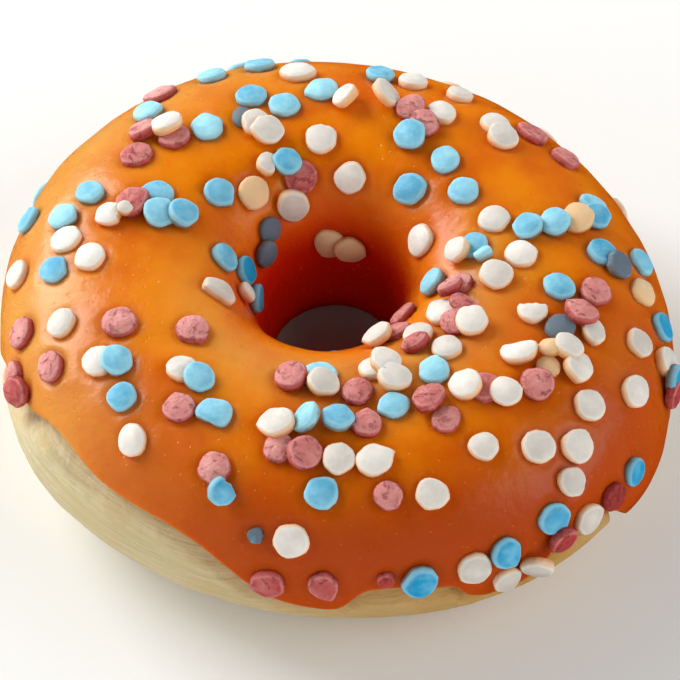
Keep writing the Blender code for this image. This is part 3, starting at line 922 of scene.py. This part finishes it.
def place_mesh(name, sprinkles, chance):
    """One point for each sprinkle, with its turn, size, break, point, film of icing, and a tone of painted
    light by the way it faces, partly by chance.
    """
    mesh = bpy.data.meshes.new(name)
    mesh.from_pydata([sprinkle.centre for sprinkle in sprinkles], [], [])
    columns = {"turn": [], "size": [], "broken": [], "point": [], "film": [], "shade": []}
    for sprinkle in sprinkles:
        width_share, depth_share, bearing, broken = sprinkle.oddness
        columns["turn"].append(sprinkle_turn(sprinkle, bearing).to_euler())
        size = sprinkle.radius * DROP_SIZE
        width = size * width_share * (1.0 + SPRINKLE_OVAL * chance.uniform(-1.0, 1.0))
        depth = size * depth_share * (1.0 + SPRINKLE_OVAL * chance.uniform(-1.0, 1.0))
        columns["size"].append((width, depth, SPRINKLE_THICKNESS / 2.0))
        columns["broken"].append(broken)
        pointed = chance.random() < POINTED_SHARE
        columns["point"].append(chance.uniform(*POINT_SIZE) * pointed)
        columns["film"].append(film_on(sprinkle))
        # Painted light: a sprinkle that faces the light is paler.
        lit = 0.5 + 0.5 * sprinkle.face.dot(LIT_SIDE)
        columns["shade"].append(SHADE_BY_CHANCE * chance.random() + PAINTED_LIGHT_BY_SIDE * lit)
    for label, column in columns.items():
        kind, key = ("FLOAT_VECTOR", "vector") if label in ("turn", "size") else ("FLOAT", "value")
        attribute = mesh.attributes.new(label, kind, "POINT")
        attribute.data.foreach_set(key, np.array(column, np.float32).ravel())
    return mesh


def named(graph, name, kind="FLOAT"):
    """An attribute by name, in a geometry tree."""
    return graph.node("GeometryNodeInputNamedAttribute", {"data_type": kind}, {"Name": name})


def turn_of(graph):
    """The turn of a sprinkle, in a geometry tree."""
    return graph.node("FunctionNodeEulerToRotation", {}, {0: named(graph, "turn", "FLOAT_VECTOR")})


def reshape_outline(graph, shape, unevenness):
    """Push each drop's rim in and out by chance, draw some out to a point and break some off."""
    x, y, _ = graph.axes(named(graph, "local", "FLOAT_VECTOR"))
    apart = named(graph, "shade") * OUTLINE_VARIETY
    noise = graph.noise(graph.vector(x + apart, y, 0.0), *OUTLINE_NOISE) - 0.5
    point = named(graph, "point") * exponential(y * y * -POINT_SHARPNESS) * (x > 0.0)
    grown = noise * unevenness + point
    jagged = graph.noise(graph.vector(x + apart, y, BREAK_NOISE_LEVEL), *BREAK_NOISE) - 0.5
    cut = larger(x - named(graph, "broken") - jagged * BREAK_JAGGEDNESS, 0.0)
    move = graph.vector(x * grown - cut, y * grown, 0.0)
    move = graph.vector_math("MULTIPLY", move, named(graph, "size", "FLOAT_VECTOR"))
    offset = graph.node("FunctionNodeRotateVector", {}, {0: move, 1: turn_of(graph)})
    return graph.node("GeometryNodeSetPosition", {}, {"Geometry": shape, "Offset": offset})


def build_sprinkles(name, places, drop, material, crumble):
    """All the sprinkles of one kind: drops laid on their places, each a little out of round."""
    inputs = {"Drop": drop, "Crumble": crumble, "Unevenness": OUTLINE_UNEVENNESS, "Material": material}
    graph, given = geometry_tree(name, inputs)
    here = graph.node("GeometryNodeInputPosition")
    template = store(graph, object_shape(graph, given["Drop"]), "local", "FLOAT_VECTOR", here)
    shape = graph.node("GeometryNodeInstanceOnPoints", {}, {
        "Points": given["Geometry"], "Instance": template,
        "Rotation": turn_of(graph), "Scale": named(graph, "size", "FLOAT_VECTOR"),
    })
    shape = graph.node("GeometryNodeRealizeInstances", {}, {0: shape})
    shape = reshape_outline(graph, shape, given["Unevenness"])
    noise = graph.noise(here, *CRUMBLE_NOISE) - 0.5
    shape = lift_points(graph, shape, noise * given["Crumble"])
    shape = shade_smooth(graph, shape)
    end_tree(graph, shape, given["Material"])
    return run_tree(name, graph, inputs, places)


def shader_graph(name, look):
    """A new material's graph and its shader node, with the numbers and colours that are the same all over."""
    material = bpy.data.materials.new(name)
    material.use_nodes = True
    shader = material.node_tree.nodes["Principled BSDF"]
    for label, setting in look.items():
        shader.inputs[label].default_value = setting
    return material, Graph(material.node_tree), shader


def feed(graph, shader, **values):
    """Link values to the shader's sockets, with spaces for underscores in their names."""
    for label, value in values.items():
        graph.tree.links.new(value.socket, shader.inputs[label.replace("_", " ")])


def attribute(graph, name, output="Fac"):
    """An attribute by name, in a material."""
    return graph.node("ShaderNodeAttribute", {"attribute_name": name}, {}, output)


def object_place(graph):
    """Where a shaded point lies on the object."""
    return graph.node("ShaderNodeTexCoord", {}, {}, "Object")


def relief_normal(graph, height, distance):
    """The normal of a shallow relief."""
    return graph.node("ShaderNodeBump", {}, {"Strength": 1.0, "Distance": distance, "Height": height})


def icing_material():
    """Glossy orange icing: paler on the lit flank and lip as a painted sheen, and redder as painted shade
    where it is low, most at the front, and in the hole.

    It is deeper in colour round the sprinkles as painted shade, thin at its edges, and has fine specks and
    pores.
    """
    material, graph, shader = shader_graph("icing", {
        "Subsurface Weight": 0.5, "Subsurface Radius": (1.0, 0.18, 0.02), "Subsurface Scale": 3.5 * MM,
        "IOR": 1.42, "Specular IOR Level": 0.42,
    })
    here = object_place(graph)
    over = attribute(graph, "over")
    cloud = fade(graph.noise(here, *ICING_CLOUDS), *ICING_CLOUD_FADE)
    base = graph.mix_colour(cloud, ICING_DEEP, ICING_LIGHT)
    # Painted sheen on the flank and lip, partly in clouds.
    pale = attribute(graph, "pale") * (cloud * ICING_SHEEN_CLOUDS + (1.0 - ICING_SHEEN_CLOUDS))
    base = graph.mix_colour(pale, base, ICING_SHEEN)
    # Painted shade low on the side, most at the front.
    low = fade(over, *ICING_LOW_SHADE_FADE) * attribute(graph, "pooled")
    base = graph.mix_colour(low, base, ICING_LOW_SHADE)
    # Painted shade round each sprinkle, deeper in colour where the icing meets it.
    ring = fade(attribute(graph, "near"), *ICING_SPRINKLE_SHADE_FADE)
    base = graph.mix_colour(ring * ICING_SPRINKLE_SHADE_SHARE, base, ICING_SPRINKLE_SHADE)
    # Painted deep red shade in the hole, darker still on the side that the key light reaches.
    hole_shade = graph.mix_colour(attribute(graph, "lit"), ICING_HOLE_SHADE, ICING_HOLE_LIT_SIDE_SHADE)
    base = graph.mix_colour(fade(over, *ICING_HOLE_SHADE_FADE), base, hole_shade)
    thin = fade(attribute(graph, "edge"), *ICING_THIN_FADE)
    base = graph.mix_colour(thin * ICING_THIN_SHARE, base, ICING_THIN)
    specks = fade(graph.cells(here, SPECK_SCALE), *SPECK_FADE)
    base = graph.mix_colour(specks * SPECK_SHARE, base, ICING_LIGHT)
    smoothest, change = ICING_GLOSS
    rough = graph.noise(here, *ICING_GLOSS_NOISE) * change + smoothest
    pores = graph.noise(here, *ICING_PORES) * ICING_PORE_DEPTH + graph.noise(here, *ICING_DIMPLES)
    normal = relief_normal(graph, pores - specks * SPECK_DEPTH, ICING_GRAIN)
    feed(graph, shader, Base_Color=base, Roughness=rough, Normal=normal)
    return material


def dough_material():
    """Pale matt dough with fine streaks round the ring, browner towards the base and on one side."""
    material, graph, shader = shader_graph("dough", {
        "Subsurface Weight": 0.3, "Subsurface Radius": (1.0, 0.6, 0.3), "Subsurface Scale": 2.0 * MM,
        "IOR": 1.4, "Specular IOR Level": 0.25,
    })
    here = object_place(graph)
    along = attribute(graph, "along", "Vector")
    streak = graph.noise(along, *DOUGH_STREAK_NOISE)
    patch = graph.noise(here, *DOUGH_PATCHES)
    base = graph.mix_colour(fade(streak, *DOUGH_STREAK_FADE), DOUGH_SHADE, DOUGH_PALE)
    warm = fade(patch, *DOUGH_WARM_FADE)
    base = graph.mix_colour(warm * DOUGH_WARM_SHARE, base, DOUGH_WARM)
    least, change = DOUGH_BROWN_PATCHES
    # Browner at the front, in patches.
    base = graph.mix_colour(attribute(graph, "browned") * (patch * change + least), base, DOUGH_BROWN)
    fried = fade(abs(attribute(graph, "over") - BASE_HEIGHT), *DOUGH_FRIED_FADE)
    base = graph.mix_colour(fried * DOUGH_FRIED_SHARE, base, DOUGH_FRIED)
    smoothest, change = DOUGH_GLOSS
    crumb = graph.noise(here, *DOUGH_CRUMBS) * DOUGH_CRUMB_DEPTH + streak + graph.noise(here, *DOUGH_PITS)
    normal = relief_normal(graph, crumb, DOUGH_GRAIN)
    feed(graph, shader, Base_Color=base, Roughness=patch * change + smoothest, Normal=normal)
    return material


def sprinkle_material(name, shades, gloss, grain, cracked, stained):
    """A pressed sugar finish: grainy, cracked with painted shade in the cracks, paler outwards, paler where
    it faces the light as painted light, and stained by icing at rim and foot.
    """
    material, graph, shader = shader_graph(name, {
        "Subsurface Weight": 0.15, "Subsurface Radius": (1.0, 0.7, 0.5), "Subsurface Scale": 1.0 * MM,
        "IOR": 1.45, "Specular IOR Level": 0.35,
    })
    here = object_place(graph)
    x, y, z = graph.axes(attribute(graph, "local", "Vector"))
    reach = (x * x + y * y) ** 0.5
    deep, pale, stain, filmed, dark = shades
    blot = graph.noise(here, *BLOTS)
    # Painted light: paler the more the sprinkle faces the light, with some tone by chance.
    shade = (attribute(graph, "shade") - SHADE_MIDDLE) * SHADE_CONTRAST
    tone = fade(blot, *BLOT_FADE) * BLOT_SHARE + shade
    base = graph.mix_colour(smaller(larger(tone, 0.0), 1.0), deep, pale)
    base = graph.mix_colour(fade(reach, *PALE_REACH_FADE) * PALE_SHARE, base, pale)
    rim = fade(reach + (blot - 0.5) * RIM_WANDER, *RIM_FADE)
    base = graph.mix_colour(rim * stained, base, stain)
    # Painted shade in the cracks, which are also dents in the relief.
    crack = fade(graph.noise(here, *CRACKS), *CRACK_FADE) * cracked
    base = graph.mix_colour(crack, base, dark)
    film = attribute(graph, "film") * fade(blot, *FILM_FADE)
    base = graph.mix_colour(film * FILM_SHARE, base, filmed)
    foot = fade(z - (blot - 0.5) * FOOT_WANDER, *FOOT_FADE)
    base = graph.mix_colour(foot * FOOT_SHARE, base, stain)
    rough = blot * SPRINKLE_GLOSS_CHANGE + gloss
    fine = graph.noise(here, *SUGAR_GRAINS) * SUGAR_GRAIN_DEPTH + graph.noise(here, *SUGAR_LUMPS) - crack
    feed(graph, shader, Base_Color=base, Roughness=rough, Normal=relief_normal(graph, fine, grain))
    return material


def floor_material():
    """A plain pale floor."""
    material, graph, shader = shader_graph("floor", {"Roughness": 0.9, "Specular IOR Level": 0.1})
    soft = graph.noise(object_place(graph), *FLOOR_CLOUDS)
    feed(graph, shader, Base_Color=graph.mix_colour(soft, FLOOR_LIGHT, FLOOR_WHITE))
    return material


def add_floor():
    """The floor the doughnut rests on."""
    mesh = bpy.data.meshes.new("floor")
    corners = [(x * FLOOR_SIZE, y * FLOOR_SIZE, 0.0) for x, y in ((-1, -1), (1, -1), (1, 1), (-1, 1))]
    mesh.from_pydata(corners, [], [(0, 1, 2, 3)])
    mesh.materials.append(floor_material())
    floor = bpy.data.objects.new("floor", mesh)
    floor.visible_glossy = False
    bpy.context.scene.collection.objects.link(floor)


def add_light(name, bearing, elevation, distance, size, power, tint):
    """A square soft light that points at the doughnut."""
    data = bpy.data.lights.new(name, "AREA")
    data.shape = "SQUARE"
    data.size = size
    data.energy = power
    data.color = tint
    light = bpy.data.objects.new(name, data)
    bearing = math.radians(bearing)
    elevation = math.radians(elevation)
    flat = math.cos(elevation)
    side = Vector((flat * math.cos(bearing), flat * math.sin(bearing), math.sin(elevation)))
    light.location = side * distance
    light.rotation_mode = "QUATERNION"
    light.rotation_quaternion = side.to_track_quat("Z", "Y")
    bpy.context.scene.collection.objects.link(light)


def add_world():
    """A pale sky, dimmer towards its top. Shiny surfaces don't mirror it."""
    world = bpy.data.worlds.new("world")
    world.use_nodes = True
    graph = Graph(world.node_tree)
    _, _, rise = graph.axes(graph.node("ShaderNodeTexCoord", {}, {}, "Generated"))
    sky = world.node_tree.nodes["Background"]
    sky.inputs["Color"].default_value = SKY_COLOUR
    bright = (1.0 - rise * rise * SKY_DIMMING) * fade(rise, *SKY_TOP_FADE)
    world.node_tree.links.new((bright * bright * SKY_STRENGTH).socket, sky.inputs["Strength"])
    world.cycles_visibility.glossy = False
    bpy.context.scene.world = world


def add_camera():
    """A long lens from the front, a little above half way up."""
    data = bpy.data.cameras.new("camera")
    data.sensor_width = SENSOR_WIDTH
    data.lens = FOCAL_PIXELS / PICTURE_SIZE * SENSOR_WIDTH
    data.shift_x = 0.5 - PICTURE_CENTRE[0] / PICTURE_SIZE
    data.shift_y = PICTURE_CENTRE[1] / PICTURE_SIZE - 0.5
    data.clip_start, data.clip_end = CAMERA_CLIP
    rise = math.radians(CAMERA_ELEVATION)
    roll = math.radians(CAMERA_ROLL)
    back = Vector((0.0, -math.cos(rise), math.sin(rise)))
    up = Vector((0.0, math.sin(rise), math.cos(rise)))
    right = Vector((1.0, 0.0, 0.0))
    rolled_right = right * math.cos(roll) + up * math.sin(roll)
    rolled_up = up * math.cos(roll) - right * math.sin(roll)
    camera = bpy.data.objects.new("camera", data)
    camera.rotation_mode = "QUATERNION"
    camera.rotation_quaternion = Matrix((rolled_right, rolled_up, back)).transposed().to_quaternion()
    camera.location = Vector((*CENTRE_SHIFT, SIDE_HEIGHT)) + back * CAMERA_DISTANCE
    bpy.context.scene.collection.objects.link(camera)
    bpy.context.scene.camera = camera


def build_doughnut():
    """Dough, icing and the three kinds of sprinkle, each over the solid it stands for."""
    chance = random.Random(SEED)
    sprinkles = laid_sprinkles(chance)
    for number, oddness in ODD_SPRINKLES.items():
        sprinkles[number].oddness = oddness
    spread_sprinkles(chance, sprinkles)
    lift_stacked(sprinkles)
    drop = drop_template()
    uneven = random.Random(SEED + 1)
    made = []
    for name, (letters, shades, gloss, grain, cracked, stained, crumble) in SPRINKLE_KINDS.items():
        chosen = [sprinkle for sprinkle in sprinkles if sprinkle.letter.lower() in letters]
        material = sprinkle_material(name, shades, gloss, grain, cracked, stained)
        places = place_mesh(name + " places", chosen, uneven)
        piece = build_sprinkles(name, places, drop, material, crumble)
        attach(piece, "root")
        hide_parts("icing")
        made.append(piece)
    bpy.data.objects.remove(drop)
    all_sprinkles = joined_copy(made)
    icing = build_icing(icing_material(), all_sprinkles)
    bpy.data.objects.remove(all_sprinkles)
    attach(icing, "root")
    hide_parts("icing")
    dough = build_dough(dough_material())
    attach(dough, "root")
    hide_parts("dough")


def joined_copy(pieces):
    """One plain mesh of several pieces, to measure distances to."""
    shape = bmesh.new()
    for piece in pieces:
        shape.from_mesh(piece.data)
    mesh = bpy.data.meshes.new("all sprinkles")
    shape.to_mesh(mesh)
    shape.free()
    joined = bpy.data.objects.new("all sprinkles", mesh)
    bpy.context.scene.collection.objects.link(joined)
    return joined


def build_stage():
    """Floor, lights, sky and camera."""
    add_floor()
    add_world()
    for name, light in LIGHTS.items():
        add_light(name, *light)
    add_camera()
    bpy.context.scene.view_settings.view_transform = "Standard"


build_doughnut()
build_stage()
